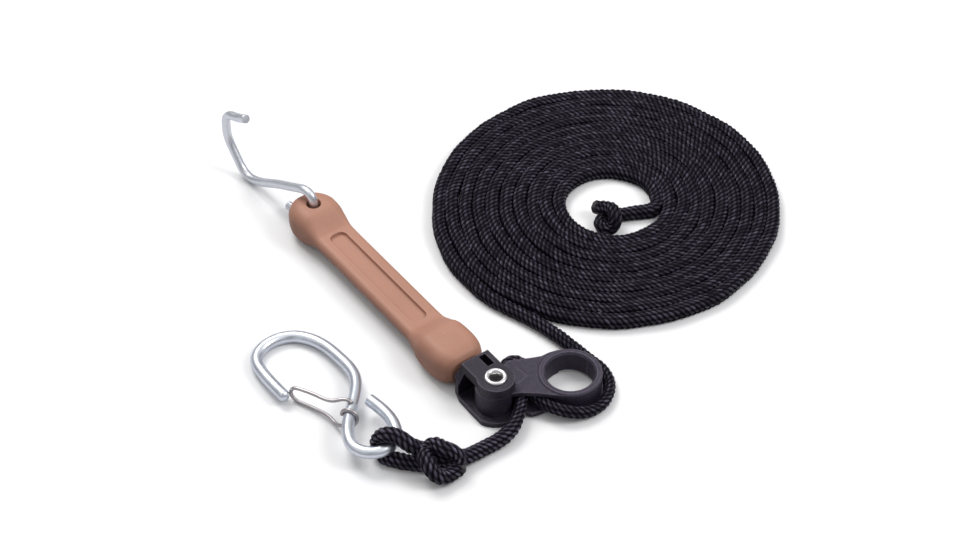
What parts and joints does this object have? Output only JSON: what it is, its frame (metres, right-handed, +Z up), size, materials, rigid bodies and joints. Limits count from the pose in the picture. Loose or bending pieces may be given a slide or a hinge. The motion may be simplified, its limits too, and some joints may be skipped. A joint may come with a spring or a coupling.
{
  "type": "stretch link hoist line with rope lock",
  "caption": "Coiled braided rope running through a cam rope lock with a finger ring, with a moulded stretch link and bent wire hook on one side and a gated snap hook on the other.",
  "frame": {"origin": "centre of the whole object's bounding box, on the floor plane it lies on", "axes": "+Z up from the floor; +X and +Y lie in the floor, with the rope coil at +X +Y and the snap hook at -X -Y"},
  "size_m": [0.2787, 0.2666, 0.0437],
  "materials": {
    "rope": "black solid-braid synthetic rope",
    "nylon": "fine-textured moulded black nylon",
    "link_rubber": "satin tan polyurethane rubber",
    "zinc_steel": "bright zinc-plated wire",
    "spring_wire": "drawn stainless spring wire",
    "rivet_steel": "bright rolled tubular rivet"
  },
  "bodies": {
    "rope_coil_body": {"rope_coil": "rope", "rope_stopper_knot": "rope", "rope_sealed_tip_coil_end": "rope"},
    "lever": {"lock_lever": "nylon", "rope_in_lock": "rope"},
    "lock_and_link": {"lock_housing": "nylon", "lock_rivet": "rivet_steel", "stretch_link": "link_rubber"},
    "link_end": {"stretch_link_hook_end": "link_rubber"},
    "wire_hook": {"top_hook": "zinc_steel"},
    "lead": {"rope_lead": "rope", "rope_hook_knot": "rope", "rope_hook_loop": "rope", "rope_sealed_tip_hook_end": "rope"},
    "snap": {"snap_hook": "zinc_steel", "gate_wire_wrap": "spring_wire"},
    "gate": {"snap_gate": "spring_wire"}
  },
  "joints": [
    {"name": "tail_flex", "type": "hinge", "parent": "rope_coil_body", "child": "lever", "pos_m": [0.03083, -0.04735, 0.0032], "axis": [0, 0, 1], "range_deg": [-4, 18]},
    {"name": "lever_pivot", "type": "hinge", "parent": "lever", "child": "lock_and_link", "pos_m": [-0.00231, -0.0863, 0.008], "axis": [0, 0, 1], "range_deg": [-3, 11]},
    {"name": "link_stretch", "type": "slide", "parent": "lock_and_link", "child": "link_end", "axis": [-0.5927, 0.8054, 0], "range_m": [0, 0.06], "stiffness_N_per_m": 1500},
    {"name": "hook_swing", "type": "hinge", "parent": "link_end", "child": "wire_hook", "pos_m": [-0.09141, 0.03139, 0.008], "axis": [0, 0, 1], "range_deg": [-28, 12]},
    {"name": "lead_flex", "type": "hinge", "parent": "lever", "child": "lead", "pos_m": [0.00929, -0.0902, 0.00634], "axis": [0, 0, 1], "range_deg": [-5, 15]},
    {"name": "snap_swing", "type": "hinge", "parent": "lead", "child": "snap", "pos_m": [-0.05851, -0.1123, 0.0096], "axis": [0, 0, 1], "range_deg": [-12, 15]},
    {"name": "gate_open", "type": "hinge", "parent": "snap", "child": "gate", "pos_m": [-0.06861, -0.0938, 0.006], "axis": [0, 0, 1], "range_deg": [-28, 0], "stiffness_Nm_per_rad": 0.02, "springref_deg": 5.73}
  ]
}
